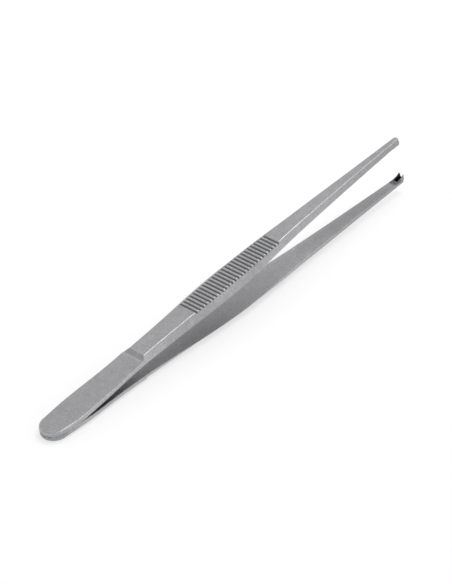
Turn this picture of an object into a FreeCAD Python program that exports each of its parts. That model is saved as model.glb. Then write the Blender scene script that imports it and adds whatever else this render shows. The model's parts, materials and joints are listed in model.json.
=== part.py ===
import FreeCAD, Part
import math
import os

# Toothed thumb forceps, 145 mm pattern: two spring arms of stainless steel,
# lying on top of each other at the tail, where they are welded, and bowing
# apart from there. All sizes are in millimetres.
#
# Arm frame, used until the last step: X runs from the tail end to the tips,
# Y is the width, and the plane Z = 0 is the joint face between the arms.
# The upper arm is made there, and the lower one is its mirror image apart
# from the teeth. The last step lays the pair down on the lower arm.

# Overall
LENGTH = 145.0            # tail end to tip end of each arm

# Plan outline, as half widths at stations along X
TAIL_RADIUS = 4.25         # full-round tail end
HEEL_X = 12.0             # widest place of the flat tail
HEEL_HALF = 4.55
WAIST_X = 33.0            # narrow place just behind the step
WAIST_HALF = 3.94
GRIP_X = 69.5             # widest place, under the thumb and finger
GRIP_HALF = 5.30
SHANK_X = 100.0           # fore arm, halfway down the taper
SHANK_HALF = 3.27
NECK_X = 125.0            # where the taper runs out towards the tip
NECK_HALF = 1.95
TIP_HALF = 1.16           # half width at the very tip

# Side outline, as heights of the inner face above the joint face
LAND_END = 9.5            # welded flat land ends here and the arms part
SPRING_X = 22.0
SPRING_RISE = 0.56
STEP_RISE = 1.63          # inner face height under the step
BOW_X = 75.0
BOW_RISE = 3.96
REACH_X = 97.0
REACH_RISE = 4.88
TIP_RISE = 6.45

# Thickness
LEAF_THICK = 1.42         # spring leaf behind the step
STEP_THICK = 2.22         # just in front of the step
BOW_THICK = 2.08
SHANK_THICK = 2.02
TIP_THICK = 1.50

# Step milled into the outer face
STEP_FOOT = 35.0          # ramp starts here on the leaf
STEP_RUN = 1.45            # length of the concave ramp

# Slanted side facets of the fore arm, as their width seen from above
STEP_BEVEL = 1.15
GRIP_BEVEL = 2.16
FLARE_X = 92.0
FLARE_BEVEL = 1.16
SLIM_X = 118.0
SLIM_BEVEL = 0.72
TIP_BEVEL = 0.42

# Cross grooves of the grip
GROOVES = 27
GROOVE_START = 56.95       # middle of the first groove
GROOVE_PITCH = 1.293
GROOVE_DEPTH = 0.55
GROOVE_WIDTH = 1.00        # across its mouth
GROOVE_FLOOR = 0.40        # across its flat bottom

# Jaws: two teeth on the lower arm, one on the upper between them
HOOK_LENGTH = 4.0         # the inner face bends in over this length
KNEE_BACK = 1.50          # from the tip end to where the bend gets steeper
KNEE_DROP = 0.85          # what the inner face has come in by there
TOOTH_HEIGHT = 1.37
TOOTH_SPACING = 1.60      # between the points of the two teeth
TOOTH_LEAN = 0.50         # points stand this far behind the tip end
TOOTH_CLEAR = 0.10        # single tooth to the walls of the notch, when shut
POINT_FLAT = 0.10         # small flat on each point
JAW_DROP = 0.50           # the upper jaw comes in by this at full width, round its tooth
NOTCH_DEPTH = 0.70        # the notch of the twin teeth goes this deep into the inner face
NOTCH_LENGTH = 3.0        # and starts this far behind the tip end
NOTCH_FLOOR = 0.80        # across its flat bottom
NOSE_RADIUS = 0.9         # outer face rounds down to the tip end by this
CORNER_RADIUS = 0.85      # tip corners seen from above
TRIM = 0.02               # tools run past the faces they trim by this much

# How finely the arms are described by cross sections
LEAF_STATIONS = 9
FORE_STATIONS = 20
RAMP_STATIONS = 4

STEP_TOP = STEP_FOOT + STEP_RUN


def smooth(stations, x):
    """Value at x of a smooth curve through (x, value) pairs, with no overshoot."""
    pts = sorted(stations)
    if x <= pts[0][0]:
        return pts[0][1]
    if x >= pts[-1][0]:
        return pts[-1][1]
    gaps = [b[0] - a[0] for a, b in zip(pts, pts[1:])]
    rates = [(b[1] - a[1]) / g for a, b, g in zip(pts, pts[1:], gaps)]
    slopes = [rates[0]]
    for before, after in zip(rates, rates[1:]):
        if before * after <= 0:
            slopes.append(0.0)
        else:
            slopes.append(2 * before * after / (before + after))
    slopes.append(rates[-1])
    i = max(k for k in range(len(gaps)) if x >= pts[k][0])
    g = gaps[i]
    s = (x - pts[i][0]) / g
    near = (1 + 2 * s) * (1 - s) ** 2 * pts[i][1] + s * (1 - s) ** 2 * g * slopes[i]
    far = s * s * (3 - 2 * s) * pts[i + 1][1] + s * s * (s - 1) * g * slopes[i + 1]
    return near + far


def half_width(x):
    return smooth([(TAIL_RADIUS, TAIL_RADIUS), (HEEL_X, HEEL_HALF), (WAIST_X, WAIST_HALF),
                   (GRIP_X, GRIP_HALF), (SHANK_X, SHANK_HALF), (NECK_X, NECK_HALF),
                   (LENGTH, TIP_HALF)], x)


def inner_height(x):
    return smooth([(LAND_END, 0.0), (SPRING_X, SPRING_RISE), (STEP_TOP, STEP_RISE),
                   (BOW_X, BOW_RISE), (REACH_X, REACH_RISE), (LENGTH, TIP_RISE)], x)


def thickness(x):
    """Thickness: the thin leaf, then the concave ramp, then the full fore arm."""
    full = smooth([(STEP_TOP, STEP_THICK), (BOW_X, BOW_THICK), (SHANK_X, SHANK_THICK),
                   (LENGTH, TIP_THICK)], x)
    if x <= STEP_FOOT:
        return LEAF_THICK
    if x >= STEP_TOP:
        return full
    rise = STEP_THICK - LEAF_THICK
    cutter = (STEP_RUN ** 2 + rise ** 2) / (2 * rise)
    return LEAF_THICK + cutter - math.sqrt(cutter ** 2 - (x - STEP_FOOT) ** 2)


def bevel(x):
    """Width of each slanted side facet: none on the leaf, growing up the ramp."""
    if x <= STEP_FOOT:
        return 0.0
    if x >= STEP_TOP:
        return smooth([(STEP_TOP, STEP_BEVEL), (GRIP_X, GRIP_BEVEL), (FLARE_X, FLARE_BEVEL),
                       (SLIM_X, SLIM_BEVEL), (LENGTH, TIP_BEVEL)], x)
    return STEP_BEVEL * (thickness(x) - LEAF_THICK) / (STEP_THICK - LEAF_THICK)


def section(x):
    """Closed outline of the arm at x: wide inner face, narrower outer face."""
    foot = inner_height(x)
    top = foot + thickness(x)
    wide = half_width(x)
    narrow = wide - bevel(x)
    corners = [FreeCAD.Vector(x, -wide, foot), FreeCAD.Vector(x, -narrow, top),
               FreeCAD.Vector(x, narrow, top), FreeCAD.Vector(x, wide, foot)]
    return Part.makePolygon(corners + corners[:1])


def stations(start, end, count):
    return [start + (end - start) * i / (count - 1) for i in range(count)]


def tail_plate():
    """Flat, full-round tail end, where the two arms are welded together."""
    end_half = half_width(LAND_END)
    corners = [FreeCAD.Vector(TAIL_RADIUS, -TAIL_RADIUS, 0), FreeCAD.Vector(LAND_END, -end_half, 0),
               FreeCAD.Vector(LAND_END, end_half, 0), FreeCAD.Vector(TAIL_RADIUS, TAIL_RADIUS, 0)]
    round_end = Part.Arc(corners[3], FreeCAD.Vector(0, 0, 0), corners[0]).toShape()
    outline = Part.Wire([round_end] + Part.makePolygon(corners).Edges)
    return Part.Face(outline).extrude(FreeCAD.Vector(0, 0, LEAF_THICK))


def lofted(places, ruled):
    return Part.makeLoft([section(x) for x in places], True, ruled)


def prism(points, half, axis):
    """Straight block: a closed outline in the XZ or YZ plane, pulled both ways."""
    wire = Part.makePolygon(points + [points[0]])
    face = Part.Face(wire)
    face.translate(axis * -half)
    return face.extrude(axis * (2 * half))


def groove_cutters():
    """Flat-bottomed cutters across the grip, each at the local outer height."""
    mouth = 0.5 * GROOVE_WIDTH
    floor = 0.5 * GROOVE_FLOOR
    spread = (mouth - floor) / GROOVE_DEPTH
    cutters = []
    for i in range(GROOVES):
        x = GROOVE_START + i * GROOVE_PITCH
        top = inner_height(x) + thickness(x)
        low = top - GROOVE_DEPTH
        high = top + GROOVE_DEPTH
        reach = mouth + spread * GROOVE_DEPTH
        outline = [FreeCAD.Vector(x - floor, 0, low), FreeCAD.Vector(x + floor, 0, low),
                   FreeCAD.Vector(x + reach, 0, high), FreeCAD.Vector(x - reach, 0, high)]
        cutters.append(prism(outline, GRIP_HALF, FreeCAD.Vector(0, 1, 0)))
    return cutters


def hook():
    """The inward bend of a tip, full width, that the teeth are cut from."""
    start = LENGTH - HOOK_LENGTH
    level = inner_height(LENGTH)
    peak = level - TOOTH_HEIGHT
    root = level + 0.5 * TIP_THICK
    point = LENGTH - TOOTH_LEAN
    outline = [(start, inner_height(start)), (LENGTH - KNEE_BACK, level - KNEE_DROP),
               (point - POINT_FLAT, peak), (point, peak), (LENGTH, level), (LENGTH, root),
               (start, root)]
    return prism([FreeCAD.Vector(x, 0, z) for x, z in outline], TIP_HALF,
                 FreeCAD.Vector(0, 1, 0))


def cut_from_hook(outline):
    """Keeps of the hook what lies inside a (y, z) outline, seen from the tip end."""
    start = LENGTH - HOOK_LENGTH - TRIM
    spots = [FreeCAD.Vector(start, y, z) for y, z in outline]
    face = Part.Face(Part.makePolygon(spots + spots[:1]))
    return hook().common(face.extrude(FreeCAD.Vector(HOOK_LENGTH + 2 * TRIM, 0, 0)))


def twin_teeth():
    """Outer flanks of the two pointed teeth; the notch parts them later."""
    level = inner_height(LENGTH)
    peak = level - TOOTH_HEIGHT - TRIM
    root = level + 0.5 * TIP_THICK
    outer = 0.5 * (TOOTH_SPACING + POINT_FLAT)
    half = [(outer, peak), (TIP_HALF, level), (0.5 * TIP_HALF, root)]
    other_half = [(-y, z) for y, z in reversed(half)]
    return cut_from_hook(half + other_half)


def notch_cutter():
    """Notch between the two teeth, sunk into the inner face behind them."""
    level = inner_height(LENGTH)
    peak = level - TOOTH_HEIGHT - TRIM
    bottom = level + NOTCH_DEPTH
    inner = 0.5 * (TOOTH_SPACING - POINT_FLAT)
    floor = 0.5 * NOTCH_FLOOR
    start = LENGTH - NOTCH_LENGTH
    corners = [FreeCAD.Vector(start, -inner, peak), FreeCAD.Vector(start, inner, peak),
               FreeCAD.Vector(start, floor, bottom), FreeCAD.Vector(start, -floor, bottom)]
    face = Part.Face(Part.makePolygon(corners + corners[:1]))
    return face.extrude(FreeCAD.Vector(NOTCH_LENGTH + TRIM, 0, 0))


def single_tooth():
    """One pointed tooth on a blunt jaw; it drops into the notch of the other arm."""
    level = inner_height(LENGTH)
    peak = level - TOOTH_HEIGHT - TRIM
    jaw = level - JAW_DROP
    root = level + 0.5 * TIP_THICK
    foot = 0.5 * (TOOTH_SPACING - POINT_FLAT) - TOOTH_CLEAR
    half = [(0.5 * POINT_FLAT, peak), (foot, jaw), (TIP_HALF, jaw), (0.5 * TIP_HALF, root)]
    other_half = [(-y, z) for y, z in reversed(half)]
    return cut_from_hook(half + other_half)


def nose_cutter():
    """What lies outside the curve that rounds the outer face down to the tip end."""
    start = LENGTH - NOSE_RADIUS
    crown = inner_height(start) + thickness(start)
    past = LENGTH + NOSE_RADIUS
    over = crown + NOSE_RADIUS
    centre = FreeCAD.Vector(start, 0, crown - NOSE_RADIUS)
    middle = centre + FreeCAD.Vector(1, 0, 1) * (NOSE_RADIUS * math.sqrt(0.5))
    foot = centre + FreeCAD.Vector(0, 0, NOSE_RADIUS)
    end = centre + FreeCAD.Vector(NOSE_RADIUS, 0, 0)
    sides = Part.makePolygon([end, FreeCAD.Vector(past, 0, end.z), FreeCAD.Vector(past, 0, over),
                              FreeCAD.Vector(start, 0, over), foot])
    face = Part.Face(Part.Wire([Part.Arc(foot, middle, end).toShape()] + sides.Edges))
    face.translate(FreeCAD.Vector(0, -2 * TIP_HALF, 0))
    return face.extrude(FreeCAD.Vector(0, 4 * TIP_HALF, 0))


def corner_cutters():
    """What the rounded corners, seen from above, take off the tip."""
    low = inner_height(LENGTH) - 2 * TOOTH_HEIGHT
    height = 2 * (TIP_THICK + 2 * TOOTH_HEIGHT)
    centre_x = LENGTH - CORNER_RADIUS
    inset = TIP_HALF - CORNER_RADIUS
    cutters = []
    for side in (-1, 1):
        post = Part.makeCylinder(CORNER_RADIUS, height, FreeCAD.Vector(centre_x, side * inset, low))
        reach = 2 * CORNER_RADIUS
        near_y = inset if side > 0 else -inset - reach
        block = Part.makeBox(reach, reach, height, FreeCAD.Vector(centre_x, near_y, low))
        cutters.append(block.cut(post))
    return cutters


def blank_arm():
    """Arm without teeth or grooves: tail plate, spring leaf, ramp and fore arm."""
    leaf = lofted(stations(LAND_END, STEP_FOOT, LEAF_STATIONS), False)
    ramp = lofted(stations(STEP_FOOT, STEP_TOP, RAMP_STATIONS), True)
    fore = lofted(stations(STEP_TOP, LENGTH, FORE_STATIONS), False)
    return tail_plate().multiFuse([leaf, ramp, fore])


def arm(teeth, notches):
    body = blank_arm().cut(groove_cutters())
    body = body.fuse(teeth)
    return body.cut(notches + [nose_cutter()] + corner_cutters()).Solids[0]


def rest_angle():
    """Tilt that brings the tail and the bow of the lower arm onto one level."""
    tail = inner_height(TAIL_RADIUS) + LEAF_THICK
    drops = [(inner_height(x) + thickness(x) - tail) / x
             for x in stations(STEP_TOP, LENGTH, 200)]
    return math.degrees(math.atan(max(drops)))


def laid_down(shapes):
    """Puts the arms into the part's frame: resting on the floor, centred in length."""
    placed = [shape.copy() for shape in shapes]
    for shape in placed:
        shape.rotate(FreeCAD.Vector(0, 0, 0), FreeCAD.Vector(0, 1, 0), -rest_angle())
    boxes = [shape.optimalBoundingBox() for shape in placed]
    middle = 0.5 * (min(b.XMin for b in boxes) + max(b.XMax for b in boxes))
    floor = min(b.ZMin for b in boxes)
    for shape in placed:
        shape.translate(FreeCAD.Vector(-middle, 0, -floor))
    return placed


upper = arm(single_tooth(), [])
lower = arm(twin_teeth(), [notch_cutter()]).mirror(FreeCAD.Vector(0, 0, 0), FreeCAD.Vector(0, 0, 1))

os.makedirs("parts", exist_ok=True)
for name, shape in zip(("upper_arm", "lower_arm"), laid_down([upper, lower])):
    shape.exportStep("parts/%s.step" % name)
    box = shape.optimalBoundingBox()
    print(name, "valid", shape.isValid(), "volume %.1f" % shape.Volume,
          "x %.2f..%.2f y %.2f..%.2f z %.2f..%.2f"
          % (box.XMin, box.XMax, box.YMin, box.YMax, box.ZMin, box.ZMax))
print("rest angle %.3f degrees" % rest_angle())
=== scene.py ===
import json
import math

import bmesh
import bpy
import numpy as np
from mathutils import Matrix, Vector


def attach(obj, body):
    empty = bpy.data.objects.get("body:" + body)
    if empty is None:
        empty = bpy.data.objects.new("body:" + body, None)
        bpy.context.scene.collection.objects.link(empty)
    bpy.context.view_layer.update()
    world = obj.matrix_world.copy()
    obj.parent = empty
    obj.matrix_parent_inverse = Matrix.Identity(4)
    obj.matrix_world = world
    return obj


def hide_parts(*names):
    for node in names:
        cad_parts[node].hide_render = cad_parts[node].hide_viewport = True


# Toothed thumb forceps: two satin steel arms, welded flat on each other at the
# tail. The arms are drawn again here from the sizes of the solids, in
# millimetres, with the softened edges, the sloped groove walls and the hollow
# inner faces that the solids leave plain, and are then laid where the solids lie.

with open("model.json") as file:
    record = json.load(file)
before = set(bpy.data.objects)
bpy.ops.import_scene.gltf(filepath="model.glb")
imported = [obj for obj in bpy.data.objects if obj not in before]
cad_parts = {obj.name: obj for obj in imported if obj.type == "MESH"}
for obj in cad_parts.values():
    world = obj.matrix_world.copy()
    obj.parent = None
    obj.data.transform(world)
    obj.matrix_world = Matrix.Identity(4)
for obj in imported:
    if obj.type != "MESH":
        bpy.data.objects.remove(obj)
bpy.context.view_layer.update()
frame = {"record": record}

MM = 0.001
SAME_PLACE = 1e-5         # points and stations nearer than this are one
NO_LENGTH = 1e-6

# Plan outline of an arm, as half widths at stations from the tail end
LENGTH = 144.75
TAIL_RADIUS = 4.25
HALF_WIDTHS = [(TAIL_RADIUS, 4.25), (12.0, 4.55), (33.0, 3.94), (69.5, 5.44), (100.0, 3.32),
               (125.0, 1.98), (LENGTH, 1.18)]

# Side outline, as heights of the inner face above the joint face
LAND_END = 9.5            # the flat joint face ends here and the arms part
STEP_FOOT = 34.8          # the ramp of the step starts here on the leaf
STEP_RUN = 1.65           # and is this long
STEP_TOP = STEP_FOOT + STEP_RUN
RAMP_FOOT = 0.16          # share of the ramp that curves up from the leaf
RAMP_TOP = 0.16           # and share that rolls over onto the fore arm
STEP_RIM = 0.6            # how far the painted highlights on the rims reach beyond the ramp
INNER_HEIGHTS = [(LAND_END, 0.0), (22.0, 0.56), (STEP_TOP, 1.63), (75.0, 3.96), (97.0, 4.88),
                 (LENGTH, 6.45)]

# What is ground off the inner face, at stations
HOLLOWS = [(LAND_END, 0.0), (20.0, 0.21), (40.0, 0.21), (72.0, 0.08), (100.0, 0.0)]

# Thicknesses
LEAF_THICK = 1.42         # spring leaf behind the step
STEP_THICK = 2.22         # just in front of the step
TIP_THICK = 1.50
FORE_THICKNESSES = [(STEP_TOP, STEP_THICK), (75.0, 2.08), (100.0, 2.02), (LENGTH, TIP_THICK)]

# Slanted side facets, as widths seen from above
STEP_BEVEL = 1.15
FACET_WIDTHS = [(STEP_TOP, STEP_BEVEL), (69.5, 2.16), (92.0, 1.16), (118.0, 0.72), (LENGTH, 0.42)]

# Softened edges: blasting and polishing round them by these radii
LEAF_EDGES = [(TAIL_RADIUS, 0.60), (10.0, 0.26), (16.0, 0.16), (STEP_FOOT, 0.13)]
OUTER_EDGES = [(STEP_TOP, 0.42), (56.0, 0.34), (69.5, 0.34), (92.0, 0.44), (118.0, 0.34),
               (LENGTH, 0.36)]
INNER_EDGE = 0.03

# Painted highlights and painted shade: shares by which the steel's colour is made brighter or
# darker than its plain finish
# painted highlights on the two rims of the step, painted shade on the ramp between them, and a
# little painted light on the fore arm from there on
OUTER_PAINTED_SHADING = [(STEP_FOOT - STEP_RIM, 0.0), (STEP_FOOT, 0.16), (STEP_FOOT + 0.45, -0.15),
               (STEP_TOP - 0.35, -0.15), (STEP_TOP + 0.15, 0.16), (STEP_TOP + STEP_RIM, 0.06)]
# painted shade on the facets towards the tips
FACET_PAINTED_SHADE = [(84.0, 0.0), (96.0, -0.12)]
# painted shade on the inner faces where the gap is narrow, and painted light just past it
INNER_PAINTED_SHADING = [(36.0, 0.0), (60.0, -0.12), (72.0, 0.03), (84.0, 0.13), (96.0, 0.22), (112.0, 0.06),
               (128.0, 0.0)]
FACE_REACH = 0.2          # spots this near the height of a face count as that face

# Painted shade at stations: darker between the leaves, and in the hollow behind the teeth
LEAF_GAP_SHADE = [(LAND_END, 0.0), (14.0, 0.42), (26.0, 0.42), (STEP_TOP + 10.0, 0.0)]
LEAF_GAP_SHADE_END = STEP_TOP + 12.0
SHADE_REACH = 0.25         # the painted shade reaches this far up from the inner face

# Places where the finish and the painted shade change: from, to, and the amount at either
TIP_PAINTED_SHADE = (108.0, 136.0, 1.0, 0.90)    # painted shade towards the tips: brightness left, along the arm
TIP_DULL = (84.0, 126.0, 0.0, 0.14)      # roughness added, along the arm
SEAM_STAIN = (0.05, 0.30, 1.0, 0.0)      # heat stain, away from the joint face
SEAM_FADE = (4.0, 10.0, 1.0, 0.4)        # and along the arm
TAIL_WALL_DARKENING = (0.9, 1.3, 1.0, 0.0)        # weaker darkening of the tail's side wall, in the tint of the seam stain
WALL_FADE = (3.0, 12.0, 0.33, 0.0)       # and along the arm
GROOVE_SHADE = (0.02, 0.60, 0.0, 0.66)    # painted shade by share of a groove's depth

# Sizes of the patterns in the finish and in the painted shade
GRAIN = 0.32
CLOUDS = 2.2
STAIN_SPOTS = 0.8
# patches that break up the painted shade of the notch and the hook
SHADE_PATCHES = 0.45

# Cross grooves of the grip
GROOVES = 27
GROOVE_START = 56.95      # middle of the first groove
GROOVE_PITCH = 1.293
GROOVE_DEPTH = 0.55
GROOVE_MOUTH = 1.14       # width at the outer face
GROOVE_FLOOR = 0.12       # width of the flat bottom
GROOVE_LIP = 0.12         # softens the edges where a groove breaks out

# Jaws
HOOK_LENGTH = 4.0         # the inner face bends in over this length
KNEE_BACK = 1.35          # from the tip end to where the bend gets steeper
KNEE_DROP = 0.62          # what the inner face has come in by there
TOOTH_HEIGHT = 1.37
TOOTH_SPACING = 1.60      # between the points of the two teeth
TOOTH_LEAN = 0.10         # points stand this far behind the tip end
TOOTH_CLEAR = 0.10        # single tooth to the walls of the notch, when shut
POINT_FLAT = 0.10         # small flat on each point
JAW_DROP = 0.30           # the upper jaw comes in by this beside its tooth
NOTCH_DEPTH = 0.70        # of the notch between the two teeth, into the inner face
NOTCH_LENGTH = 3.0
NOTCH_FLOOR = 0.80        # width of its flat bottom
NOTCH_END = 0.25          # the notch slopes out over this length, to look milled
HOOK_START = LENGTH - HOOK_LENGTH
NOTCH_START = LENGTH - NOTCH_LENGTH
NOTCH_HALF = 0.5 * (TOOTH_SPACING - POINT_FLAT)
# painted shade in the hollow of the hook behind the two teeth, at stations
HOOK_SHADE = [(HOOK_START - 1.1, 0.0), (HOOK_START - 0.1, 0.60), (HOOK_START + 2.0, 0.60),
        (HOOK_START + 2.6, 0.35)]
NOSE_RADIUS = 0.55
CORNER_RADII = {1: 1.05, 2: 0.80}    # of the tip with one tooth, and with two

# Limits of the sections
FACET_SHARE = 0.6         # of the half width that a facet may take
ARC_SHARE = 0.45          # of a side that the arc at its end may take
STRAIGHT = 0.498 * math.pi    # half the angle of a corner too flat to round

# How finely an arm is drawn
LEAF_SECTIONS = 26
STEP_SECTIONS = 38
FORE_SECTIONS = 18
SHANK_SECTIONS = 36
HOOK_SECTIONS = 32
END_SECTIONS = 20
FLAT_POINTS = 9           # over half of the outer face
ARC_POINTS = 6            # round an outer edge
SIDE_POINTS = 24          # down a facet
SIDE_CROWDING = 1.5       # power that crowds those points towards the outer edge
EDGE_POINTS = 3           # round an inner edge
INNER_POINTS = 22         # over half of the inner face
TAIL_STEPS = 28           # round the tail end
WALL_STEPS = 5            # down a groove wall
SHARP_ANGLE = 32.0        # degrees; edges turned by more than this stay crisp

# Camera of the photograph, in the frame of the arms: X along them, Z apart
IMAGE_WIDTH = 452
IMAGE_HEIGHT = 584
SENSOR = 36.0
CAMERA_AZIMUTH = -40.646
CAMERA_ELEVATION = 38.839
CAMERA_ROLL = -9.557
CAMERA_DISTANCE = 900.0
CAMERA_TARGET = (71.285, 0.0, 0.718)
PIXELS_PER_MM = 3.618

# Studio, in metres and watts
FLOOR_HALF = 1.5
GLOW_STRENGTH = 1.12      # of the floor, for the camera and in the steel
GLOW_SHARE = 0.5
LAMP_DISTANCE = 0.8

# Light of the tent: along each axis its strength goes from one value to another
TENT_SLOPES = [("X", (-0.3, 1.22), (0.4, 1.0)), ("Y", (-0.6, 1.10), (0.0, 1.0)),
               ("Z", (0.0, 1.22), (0.6, 0.51))]

# Where the arms lie: read off the tail's mount in the record
TAIL_MOUNT_X = 6.3
tail_mount = next(m for m in frame["record"]["mounts"] if m["name"] == "tail_face")
LEAN = math.asin(-tail_mount["axis"][0])


def laid_down():
    """Matrix from the frame of the arms, in millimetres, to the part's, in metres."""
    turn = Matrix.Rotation(-LEAN, 4, "Y") @ Matrix.Scale(MM, 4)
    mount = turn @ Vector((TAIL_MOUNT_X, 0, LEAF_THICK))
    return Matrix.Translation(Vector(tail_mount["pos_m"]) - mount) @ turn


def smooth(stations, x):
    """Value at x of a smooth curve through (x, value) pairs, with no overshoot."""
    pts = sorted(stations)
    if x <= pts[0][0]:
        return pts[0][1]
    if x >= pts[-1][0]:
        return pts[-1][1]
    gaps = [b[0] - a[0] for a, b in zip(pts, pts[1:])]
    rates = [(b[1] - a[1]) / g for a, b, g in zip(pts, pts[1:], gaps)]
    slopes = [rates[0]]
    for before, after in zip(rates, rates[1:]):
        flat = before * after <= 0
        slopes.append(0.0 if flat else 2 * before * after / (before + after))
    slopes.append(rates[-1])
    i = max(k for k in range(len(gaps)) if x >= pts[k][0])
    g = gaps[i]
    s = (x - pts[i][0]) / g
    near = (1 + 2 * s) * (1 - s) ** 2 * pts[i][1] + s * (1 - s) ** 2 * g * slopes[i]
    far = s * s * (3 - 2 * s) * pts[i + 1][1] + s * s * (s - 1) * g * slopes[i + 1]
    return near + far


def half_width(x, teeth):
    """Half the width of the arm, with the rounded corners of the tip."""
    plain = smooth(HALF_WIDTHS, x)
    radius = CORNER_RADII[teeth]
    past = x - (LENGTH - radius)
    if past <= 0:
        return plain
    corner = math.sqrt(max(radius ** 2 - past ** 2, 0.0))
    return min(plain, HALF_WIDTHS[-1][1] - radius + corner)


def inner_height(x):
    """Height of the inner face: the joint face is flat, and past it the face is ground
    off a little, so that the gap opens sooner than the arms bow apart."""
    return smooth(INNER_HEIGHTS, x) + smooth(HOLLOWS, x)


def full_thickness(x):
    """Thickness before that grinding."""
    if x <= STEP_FOOT:
        return LEAF_THICK
    if x >= STEP_TOP:
        return smooth(FORE_THICKNESSES, x)
    share = (x - STEP_FOOT) / STEP_RUN
    slope = 2 / (2 - RAMP_FOOT - RAMP_TOP)
    if share < RAMP_FOOT:
        climb = slope * share ** 2 / (2 * RAMP_FOOT)
    elif share < 1 - RAMP_TOP:
        climb = slope * (share - 0.5 * RAMP_FOOT)
    else:
        climb = 1 - slope * (1 - share) ** 2 / (2 * RAMP_TOP)
    return LEAF_THICK + climb * (STEP_THICK - LEAF_THICK)


def outer_height(x):
    """Height of the outer face, with the ramp of the step and the rounded nose."""
    start = LENGTH - NOSE_RADIUS
    if x <= start:
        return smooth(INNER_HEIGHTS, x) + full_thickness(x)
    crown = smooth(INNER_HEIGHTS, start) + full_thickness(start)
    drop = NOSE_RADIUS - math.sqrt(max(NOSE_RADIUS ** 2 - (x - start) ** 2, 0.0))
    return crown - drop


def facet_width(x):
    """Width of the slanted side facet seen from above; it grows with the ramp."""
    if x <= STEP_FOOT:
        return 0.0
    if x >= STEP_TOP:
        return smooth(FACET_WIDTHS, x)
    return STEP_BEVEL * (full_thickness(x) - LEAF_THICK) / (STEP_THICK - LEAF_THICK)


def outer_edge(x):
    """Radius that softens the edge of the outer face."""
    return smooth(LEAF_EDGES if x <= STEP_FOOT else OUTER_EDGES, x)


def between(x, points):
    """Straight lines through (x, value) points."""
    return float(np.interp(x, [p[0] for p in points], [p[1] for p in points]))


def tooth_outline(y, teeth):
    """Lowest height that the teeth leave at a distance y from the middle."""
    level = inner_height(LENGTH)
    peak = level - TOOTH_HEIGHT
    if teeth == 2:
        outer = 0.5 * (TOOTH_SPACING + POINT_FLAT)
        return between(abs(y), [(outer, peak), (HALF_WIDTHS[-1][1], level)])
    foot = NOTCH_HALF - TOOTH_CLEAR
    return between(abs(y), [(0.5 * POINT_FLAT, peak), (foot, level - JAW_DROP)])


def notch_depth(x, y):
    """Height of the notch that parts the two teeth, sunk into the inner face."""
    level = inner_height(LENGTH)
    peak = level - TOOTH_HEIGHT
    run = between(x, [(NOTCH_START, 0.0), (NOTCH_START + NOTCH_END, 1.0)])
    deep = level + NOTCH_DEPTH - peak
    return peak + run * between(abs(y), [(0.5 * NOTCH_FLOOR, deep), (NOTCH_HALF, 0.0)])


def inner_face(x, y, teeth):
    """Height of the inner face, with the hook and its teeth at the tip."""
    plain = inner_height(x)
    if x <= HOOK_START:
        return plain
    level = inner_height(LENGTH)
    peak = level - TOOTH_HEIGHT
    knee = (LENGTH - KNEE_BACK, level - KNEE_DROP)
    hook = between(x, [(HOOK_START, inner_height(HOOK_START)), knee,
                       (LENGTH - TOOTH_LEAN - POINT_FLAT, peak), (LENGTH - TOOTH_LEAN, peak),
                       (LENGTH, level)])
    face = min(plain, max(hook, tooth_outline(y, teeth)))
    return max(face, notch_depth(x, y)) if teeth == 2 else face


def painted_shade_at(x, y, z, teeth):
    """How dark the painted shade makes a spot of an inner face: the notch most, then the
    hollow of the hook behind the two teeth. Between the leaves, where the gap is narrow, it is
    painted darker too."""
    if teeth == 2 and x > NOTCH_START and abs(y) < NOTCH_HALF:
        return 1.0
    if z > inner_height(x) + SHADE_REACH:
        return 0.0
    if x < LEAF_GAP_SHADE_END:
        return between(x, LEAF_GAP_SHADE)
    return between(x, HOOK_SHADE) if teeth == 2 else 0.0


def painted_shading_at(x, z):
    """How much brighter a spot is painted than the plain finish: painted highlights and
    painted shade. The milled ramp of the step gets painted shade, its two rims painted
    highlights, and the fore arm a little painted light over the leaf. The facets get painted
    shade towards the tips, and the inner faces where the gap is narrow; just past it they get
    painted light."""
    if z > outer_height(x) - FACE_REACH:
        return between(x, OUTER_PAINTED_SHADING)
    if z > inner_height(x) + FACE_REACH:
        return between(x, FACET_PAINTED_SHADE)
    return between(x, INNER_PAINTED_SHADING)


def rounded(corner, before, after, radius, count):
    """Points of the arc that rounds a corner between its two neighbours."""
    corner, before, after = (np.array(p, float) for p in (corner, before, after))
    a, b = before - corner, after - corner
    la, lb = np.linalg.norm(a), np.linalg.norm(b)
    if min(la, lb) < NO_LENGTH:
        return [corner] * count
    a, b = a / la, b / lb
    half = 0.5 * math.acos(max(-1.0, min(1.0, float(a @ b))))
    if half > STRAIGHT:
        return [corner] * count
    reach = min(radius / math.tan(half), ARC_SHARE * la, ARC_SHARE * lb)
    radius = reach * math.tan(half)
    inward = (a + b) / np.linalg.norm(a + b)
    centre = corner + inward * radius / math.sin(half)
    first, last = corner + a * reach - centre, corner + b * reach - centre
    sweep = math.pi - 2 * half
    sine = math.sin(sweep)
    return [centre + (math.sin((1 - t) * sweep) * first + math.sin(t * sweep) * last) / sine
            for t in np.linspace(0, 1, count)]


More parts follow.
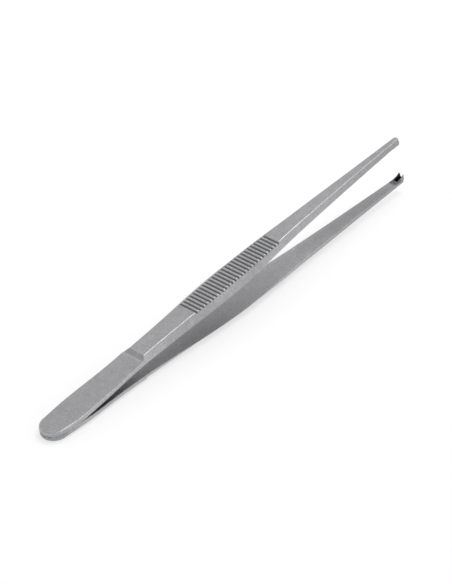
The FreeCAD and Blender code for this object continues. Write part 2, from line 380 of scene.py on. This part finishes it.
def half_ring(x, teeth):
    """(y, z) points of half a section, from the middle of the outer face round to
    the middle of the inner face."""
    foot = inner_height(x)
    top = outer_height(x)
    wide = half_width(x, teeth)
    narrow = wide - min(facet_width(x), FACET_SHARE * wide)
    outer = rounded((narrow, top), (0, top), (wide, foot), outer_edge(x), ARC_POINTS)
    inner = rounded((wide, foot), (narrow, top), (0, foot), INNER_EDGE, EDGE_POINTS)
    points = [(outer[0][0] * k / FLAT_POINTS, top) for k in range(FLAT_POINTS)]
    points += [tuple(p) for p in outer]
    for k in range(1, SIDE_POINTS):
        share = (k / SIDE_POINTS) ** SIDE_CROWDING
        points.append(tuple(outer[-1] + share * (inner[0] - outer[-1])))
    points += [tuple(p) for p in inner]
    last_y = inner[-1][0]
    points += [(last_y * (1 - k / INNER_POINTS), foot) for k in range(1, INNER_POINTS + 1)]
    first_inner = len(points) - INNER_POINTS - 1
    for k in range(first_inner, len(points)):
        y, z = points[k]
        low = inner_face(x, y, teeth)
        points[k] = (y, low if abs(y) < 0.5 * TOOTH_SPACING else min(z, low))
    return points


def groove_stations():
    """Stations over the grip: a few on every floor and ridge, more down the walls."""
    xs = []
    for i in range(GROOVES):
        centre = GROOVE_START + i * GROOVE_PITCH
        xs.append(centre)
        for side in (-1, 1):
            for k in range(WALL_STEPS + 1):
                share = k / WALL_STEPS
                away = 0.5 * (GROOVE_FLOOR + share * (GROOVE_MOUTH - GROOVE_FLOOR))
                xs.append(centre + side * away)
        xs.append(centre + 0.5 * GROOVE_PITCH)
    return xs


def stations():
    """Places of the sections along an arm, closer where its shape changes faster."""
    grip_end = GROOVE_START + GROOVES * GROOVE_PITCH
    round_end = max(CORNER_RADII.values())
    xs = list(np.linspace(TAIL_RADIUS, STEP_FOOT, LEAF_SECTIONS))
    xs += list(np.linspace(STEP_FOOT - STEP_RIM, STEP_TOP + STEP_RIM, STEP_SECTIONS))
    xs += list(np.linspace(STEP_TOP, GROOVE_START - GROOVE_PITCH, FORE_SECTIONS))
    xs += groove_stations()
    xs += list(np.linspace(grip_end, HOOK_START, SHANK_SECTIONS))
    xs += list(np.linspace(HOOK_START, LENGTH - round_end, HOOK_SECTIONS))
    turns = np.linspace(0, 0.5 * math.pi, END_SECTIONS)
    xs += list(LENGTH - round_end * (1 - np.sin(turns)))
    xs.sort()
    return [x for i, x in enumerate(xs) if i == 0 or x - xs[i - 1] > SAME_PLACE]


def blank_arm(name, teeth):
    """Mesh of one arm without its grooves, opening downwards, in millimetres."""
    bm = bmesh.new()
    height = bm.verts.layers.float.new("outer_height")
    painted_shade = bm.verts.layers.float.new("painted_shade")
    painted_shading = bm.verts.layers.float.new("painted_shading")

    rings = []
    for x in stations():
        half = half_ring(x, teeth)
        mirrored = [(-y, z) for y, z in reversed(half[1:-1])]
        made = [bm.verts.new((x, y, z)) for y, z in half + mirrored]
        for v in made:
            v[height] = outer_height(x)
            # how deep the painted shade is at this point
            v[painted_shade] = painted_shade_at(x, v.co.y, v.co.z, teeth)
            # share of painted highlight or painted shade at this point
            v[painted_shading] = painted_shading_at(x, v.co.z)
        rings.append(made)
    for first, second in zip(rings, rings[1:]):
        for k, v in enumerate(first):
            after = (k + 1) % len(first)
            bm.faces.new((v, first[after], second[after], second[k]))
    bm.faces.new(rings[-1])

    profile = half_ring(TAIL_RADIUS, teeth)
    fans = []
    for angle in np.linspace(0, math.pi, TAIL_STEPS + 1):
        c, s = math.cos(angle), math.sin(angle)
        fans.append([bm.verts.new((TAIL_RADIUS - y * s, y * c, z)) for y, z in profile])
    for first, second in zip(fans, fans[1:]):
        for k in range(len(profile) - 1):
            bm.faces.new((first[k], first[k + 1], second[k + 1], second[k]))
    for fan in fans:
        for v in fan:
            v[height] = LEAF_THICK
    bmesh.ops.remove_doubles(bm, verts=bm.verts, dist=SAME_PLACE)
    bmesh.ops.dissolve_degenerate(bm, edges=bm.edges, dist=NO_LENGTH)
    bmesh.ops.recalc_face_normals(bm, faces=bm.faces)
    mesh = bpy.data.meshes.new(name)
    bm.to_mesh(mesh)
    bm.free()
    piece = bpy.data.objects.new(name, mesh)
    bpy.context.collection.objects.link(piece)
    return piece


def add(tree, kind, settings=None, links=None):
    """Adds a node: settings go to its own fields or, by name or number, to its inputs;
    links join its inputs to sockets of other nodes."""
    node = tree.nodes.new(kind)
    for key, value in (settings or {}).items():
        if isinstance(key, str) and hasattr(node, key):
            setattr(node, key, value)
        else:
            node.inputs[key].default_value = value
    for key, socket in (links or {}).items():
        tree.links.new(socket, node.inputs[key])
    return node


def groove_tree():
    """Presses the cross grooves into an arm: at every pitch a groove with a narrow floor
    and sloped walls, measured down from the outer face of that place."""
    tree = bpy.data.node_groups.new("grip_grooves", "GeometryNodeTree")
    face = tree.interface
    face.new_socket("Arm", in_out="INPUT", socket_type="NodeSocketGeometry")
    for name in ("Start", "Pitch", "Count", "Mouth", "Floor", "Depth", "Lip"):
        face.new_socket(name, in_out="INPUT", socket_type="NodeSocketFloat")
    face.new_socket("Steel", in_out="INPUT", socket_type="NodeSocketMaterial")
    face.new_socket("Arm", in_out="OUTPUT", socket_type="NodeSocketGeometry")
    given = add(tree, "NodeGroupInput").outputs

    def math_node(operation, *values):
        settings = {"operation": operation}
        links = {}
        for i, value in enumerate(values):
            if isinstance(value, (int, float)):
                settings[i] = value
            else:
                links[i] = value
        return add(tree, "ShaderNodeMath", settings, links).outputs[0]

    place = add(tree, "GeometryNodeInputPosition").outputs[0]
    split = add(tree, "ShaderNodeSeparateXYZ", links={0: place}).outputs
    top = add(tree, "GeometryNodeInputNamedAttribute",
              {"data_type": "FLOAT", "Name": "outer_height"}).outputs[0]
    along = math_node("DIVIDE", math_node("SUBTRACT", split[0], given["Start"]), given["Pitch"])
    last = math_node("SUBTRACT", given["Count"], 1.0)
    number = math_node("MINIMUM", math_node("MAXIMUM", math_node("ROUND", along), 0.0), last)
    middle = math_node("ADD", math_node("MULTIPLY", number, given["Pitch"]), given["Start"])
    away = math_node("ABSOLUTE", math_node("SUBTRACT", split[0], middle))
    wall = add(tree, "ShaderNodeMapRange", {3: 1.0, 4: 0.0},
               {0: away, 1: math_node("MULTIPLY", given["Floor"], 0.5),
                2: math_node("MULTIPLY", given["Mouth"], 0.5)}).outputs[0]
    over = math_node("ADD", top, given["Lip"])
    deep = math_node("ADD", given["Depth"], given["Lip"])
    cut = math_node("SUBTRACT", over, math_node("MULTIPLY", wall, deep))
    low = math_node("SMOOTH_MIN", split[2], cut, given["Lip"])
    moved = add(tree, "ShaderNodeCombineXYZ", links={0: split[0], 1: split[1], 2: low}).outputs[0]
    share = math_node("DIVIDE", math_node("SUBTRACT", split[2], low), given["Depth"])
    noted = add(tree, "GeometryNodeStoreNamedAttribute",
                {"data_type": "FLOAT", "domain": "POINT", "Name": "groove"},
                {"Geometry": given["Arm"], "Value": share}).outputs[0]
    pressed = add(tree, "GeometryNodeSetPosition",
                  links={"Geometry": noted, "Position": moved}).outputs[0]
    real = add(tree, "GeometryNodeRealizeInstances", links={0: pressed}).outputs[0]
    dressed = add(tree, "GeometryNodeSetMaterial",
                  links={"Geometry": real, "Material": given["Steel"]}).outputs[0]
    add(tree, "NodeGroupOutput", links={0: dressed})
    return tree


def grooved(blank, tree, steel):
    """Runs the groove tree over an arm and hands back the finished mesh."""
    modifier = blank.modifiers.new("grip_grooves", "NODES")
    modifier.node_group = tree
    sizes = {"Start": GROOVE_START, "Pitch": GROOVE_PITCH, "Count": float(GROOVES),
             "Mouth": GROOVE_MOUTH, "Floor": GROOVE_FLOOR, "Depth": GROOVE_DEPTH,
             "Lip": GROOVE_LIP, "Steel": steel}
    for item in tree.interface.items_tree:
        if item.in_out == "INPUT" and item.name in sizes:
            modifier[item.identifier] = sizes[item.name]
    graph = bpy.context.evaluated_depsgraph_get()
    mesh = bpy.data.meshes.new_from_object(blank.evaluated_get(graph))
    bpy.data.objects.remove(blank)
    return mesh


def arm(node, teeth, flip, tree, steel):
    """One finished arm, laid where its solid lies."""
    mesh = grooved(blank_arm(node + "_blank", teeth), tree, steel)
    mesh.name = node + "_steel"
    turn = Matrix.Scale(-1, 4, Vector((0, 0, 1))) if flip else Matrix.Identity(4)
    mesh.transform(laid_down() @ turn)
    bm = bmesh.new()
    bm.from_mesh(mesh)
    bmesh.ops.recalc_face_normals(bm, faces=bm.faces)
    bm.to_mesh(mesh)
    bm.free()
    mesh.shade_smooth()
    mesh.set_sharp_from_angle(angle=math.radians(SHARP_ANGLE))
    piece = bpy.data.objects.new(node + "_satin", mesh)
    bpy.context.collection.objects.link(piece)
    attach(piece, "root")
    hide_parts(node)
    return piece


def linear(code):
    """Linear colour, opaque, from an sRGB hex code."""
    parts = [int(code[i:i + 2], 16) / 255 for i in (0, 2, 4)]
    return tuple(p / 12.92 if p <= 0.04045 else ((p + 0.055) / 1.055) ** 2.4
                 for p in parts) + (1.0,)


def blank_material(name):
    """New material, and its node tree with nothing in it."""
    material = bpy.data.materials.new(name)
    material.use_nodes = True
    material.node_tree.nodes.clear()
    return material, material.node_tree


def arm_coordinates(tree):
    """Socket with the place on an arm, in millimetres of the frame of the arms."""
    place = add(tree, "ShaderNodeTexCoord").outputs["Object"]
    back = laid_down().inverted()
    return add(tree, "ShaderNodeMapping", {"Location": back.to_translation(),
                                           "Rotation": back.to_euler(),
                                           "Scale": back.to_scale()}, {0: place}).outputs[0]


def blasted_steel():
    """Stainless steel, ground and then bead-blasted: a soft, even grey lustre with a fine
    grain and no mirror images. Painted shade darkens the notch, the hollow of the hook, the grooves
    and the gap between the leaves;
    the weld leaves stained spots, the tail's side wall is darker, and painted highlights and shade
    vary it by place.
    The grain of the beads, about 0.1 mm, is too fine to show and is drawn 0.3 mm wide."""
    material, tree = blank_material("stainless_steel_bead_blasted")
    in_mm = arm_coordinates(tree)

    def noise(size, detail):
        return add(tree, "ShaderNodeTexNoise", {"Scale": 1 / size, "Detail": detail,
                                                "Roughness": 0.6}, {"Vector": in_mm}).outputs["Fac"]

    def span(socket, low, high, first, last):
        return add(tree, "ShaderNodeMapRange", {1: low, 2: high, 3: first, 4: last},
                   {0: socket}).outputs[0]

    def product(one, other):
        return add(tree, "ShaderNodeMath", {"operation": "MULTIPLY"}, {0: one, 1: other}).outputs[0]

    def tinted(colour, code, amount):
        return add(tree, "ShaderNodeMix", {"data_type": "RGBA", "blend_type": "MIX",
                                           7: linear(code)}, {0: amount, 6: colour}).outputs[2]

    grain = noise(GRAIN, 2.0)
    cloud = noise(CLOUDS, 4.0)
    tone = add(tree, "ShaderNodeMix", {"data_type": "RGBA", "blend_type": "MIX",
                                       6: linear("B1B1B3"), 7: linear("B8B8BA")},
               {0: span(cloud, 0.35, 0.65, 0.0, 1.0)}).outputs[2]
    along, _, apart = add(tree, "ShaderNodeSeparateXYZ", links={0: in_mm}).outputs
    # painted highlights and painted shade, read from the points of the mesh
    painted_shading = add(tree, "ShaderNodeAttribute", {"attribute_name": "painted_shading"}).outputs["Fac"]
    # painted shade towards the tips, times the painted highlights and shade, times the grain below
    painted_shading_factor = product(span(along, *TIP_PAINTED_SHADE), span(painted_shading, -1.0, 1.0, 0.0, 2.0))
    grain_and_painted_shading = product(span(grain, 0.30, 0.70, 0.80, 1.18), painted_shading_factor)
    colour = add(tree, "ShaderNodeMix", {"data_type": "RGBA", "blend_type": "MULTIPLY", 0: 1.0},
                 {6: tone, 7: grain_and_painted_shading}).outputs[2]

    off_joint = add(tree, "ShaderNodeMath", {"operation": "ABSOLUTE"}, {0: apart}).outputs[0]
    seam = product(span(off_joint, *SEAM_STAIN), span(along, *SEAM_FADE))
    stain = product(seam, span(noise(STAIN_SPOTS, 2.0), 0.45, 0.60, 0.10, 0.80))
    # the tail's side wall is darkened too, in the seam stain's tint
    wall = product(span(off_joint, *TAIL_WALL_DARKENING), span(along, *WALL_FADE))
    stain_and_wall_darkening = add(tree, "ShaderNodeMath", {"operation": "ADD"}, {0: stain, 1: wall}).outputs[0]
    # painted shade in the notch, the hollow of the hook and between the leaves, in patches
    painted_shade = add(tree, "ShaderNodeAttribute", {"attribute_name": "painted_shade"}).outputs["Fac"]
    patchy = product(painted_shade, span(noise(SHADE_PATCHES, 3.0), 0.35, 0.65, 1.2, 0.75))
    recess_shade = span(patchy, 0.20, 0.85, 0.0, 1.0)
    # painted shade in the grooves, darker where they are deeper
    groove = add(tree, "ShaderNodeAttribute", {"attribute_name": "groove"}).outputs["Fac"]
    groove_shade = span(groove, *GROOVE_SHADE)
    colour = tinted(tinted(colour, "5C6068", stain_and_wall_darkening), "505153", groove_shade)
    colour = tinted(colour, "2A2B2D", recess_shade)

    dull = span(along, *TIP_DULL)
    rough = add(tree, "ShaderNodeMath", {"operation": "ADD"},
                {0: span(cloud, 0.25, 0.75, 0.39, 0.43), 1: dull}).outputs[0]
    bump = add(tree, "ShaderNodeBump", {"Strength": 0.12, "Distance": 0.02 * MM},
               {"Height": grain}).outputs[0]
    shader = add(tree, "ShaderNodeBsdfPrincipled", {"Metallic": 1.0},
                 {"Base Color": colour, "Roughness": rough, "Normal": bump}).outputs[0]
    add(tree, "ShaderNodeOutputMaterial", links={0: shader})
    return material


def paper_floor():
    """Matt white paper under the forceps. It takes their soft shadow, and glows a little
    for the camera and in the steel, so that it comes out white."""
    material, tree = blank_material("white_matt_paper")
    paper = add(tree, "ShaderNodeBsdfPrincipled",
                {"Base Color": linear("FAFAFA"), "Roughness": 0.9, "Specular IOR Level": 0.1})
    glow = add(tree, "ShaderNodeEmission",
               {"Color": linear("FFFFFF"), "Strength": GLOW_STRENGTH}).outputs[0]
    rays = add(tree, "ShaderNodeLightPath").outputs
    seen = rays["Is Camera Ray"]
    for kind in ("Is Glossy Ray", "Is Transmission Ray"):
        seen = add(tree, "ShaderNodeMath", {"operation": "MAXIMUM"},
                   {0: seen, 1: rays[kind]}).outputs[0]
    share = add(tree, "ShaderNodeMath", {"operation": "MULTIPLY", 1: GLOW_SHARE},
                {0: seen}).outputs[0]
    both = add(tree, "ShaderNodeMixShader", links={0: share, 1: paper.outputs[0], 2: glow})
    add(tree, "ShaderNodeOutputMaterial", links={0: both.outputs[0]})
    mesh = bpy.data.meshes.new("floor")
    signs = [(-1, -1), (1, -1), (1, 1), (-1, 1)]
    corners = [(i * FLOOR_HALF, j * FLOOR_HALF, 0) for i, j in signs]
    mesh.from_pydata(corners, [], [(0, 1, 2, 3)])
    mesh.materials.append(material)
    floor = bpy.data.objects.new("floor", mesh)
    bpy.context.collection.objects.link(floor)


def soft_light(name, size, power, direction):
    """A square soft box that looks at the forceps from a direction."""
    lamp = bpy.data.lights.new(name, "AREA")
    lamp.shape = "SQUARE"
    lamp.size = size
    lamp.energy = power
    box = bpy.data.objects.new(name, lamp)
    away = Vector(direction).normalized()
    box.location = away * LAMP_DISTANCE
    box.rotation_euler = away.to_track_quat("Z", "Y").to_euler()
    bpy.context.collection.objects.link(box)


def studio():
    """White tent, brighter low down, from the near side and from the tail's side, with
    two soft boxes: the near one draws the bright ridge lines, and the far one, which is
    weak, lifts the rims of the step a little."""
    world = bpy.data.worlds.new("white_tent")
    bpy.context.scene.world = world
    world.use_nodes = True
    tree = world.node_tree
    tree.nodes.clear()
    way = add(tree, "ShaderNodeTexCoord").outputs["Generated"]
    axes = add(tree, "ShaderNodeSeparateXYZ", links={0: way}).outputs
    slopes = [add(tree, "ShaderNodeMapRange", {1: first, 2: last, 3: here, 4: there},
                  {0: axes[axis]}).outputs[0]
              for axis, (first, here), (last, there) in TENT_SLOPES]
    strength = slopes[0]
    for slope in slopes[1:]:
        strength = add(tree, "ShaderNodeMath", {"operation": "MULTIPLY"},
                       {0: strength, 1: slope}).outputs[0]
    sky = add(tree, "ShaderNodeBackground", {"Color": linear("FFFFFF")}, {"Strength": strength})
    add(tree, "ShaderNodeOutputWorld", links={0: sky.outputs[0]})
    soft_light("near_soft_box", size=0.4, power=2.1, direction=(0.38, -0.10, 0.89))
    soft_light("far_soft_box", size=0.2, power=0.08, direction=(0.12, 0.60, 0.79))


def photograph_camera():
    """The photograph's view: turned, raised and rolled as fitted to its outlines."""
    az, el, roll = (math.radians(a) for a in (CAMERA_AZIMUTH, CAMERA_ELEVATION, CAMERA_ROLL))
    back = Vector((math.sin(az) * math.cos(el), -math.cos(az) * math.cos(el), math.sin(el)))
    right = Vector((math.cos(az), math.sin(az), 0))
    up = back.cross(right)
    right, up = (math.cos(roll) * right + math.sin(roll) * up,
                 math.cos(roll) * up - math.sin(roll) * right)
    place = laid_down()
    lens = bpy.data.cameras.new("photograph")
    lens.sensor_width = SENSOR
    lens.lens = PIXELS_PER_MM * CAMERA_DISTANCE * SENSOR / max(IMAGE_WIDTH, IMAGE_HEIGHT)
    lens.clip_start = 0.01
    lens.clip_end = 10.0
    camera = bpy.data.objects.new("photograph", lens)
    turn = place.to_3x3().normalized()
    axes = Matrix((turn @ right, turn @ up, turn @ back)).transposed()
    spot = place @ (Vector(CAMERA_TARGET) + CAMERA_DISTANCE * back)
    camera.matrix_world = Matrix.Translation(spot) @ axes.to_4x4()
    bpy.context.collection.objects.link(camera)
    bpy.context.scene.camera = camera


steel = blasted_steel()
grooves = groove_tree()
arm("upper_arm", 1, False, grooves, steel)
arm("lower_arm", 2, True, grooves, steel)
paper_floor()
studio()
photograph_camera()
bpy.context.scene.view_settings.view_transform = "Standard"
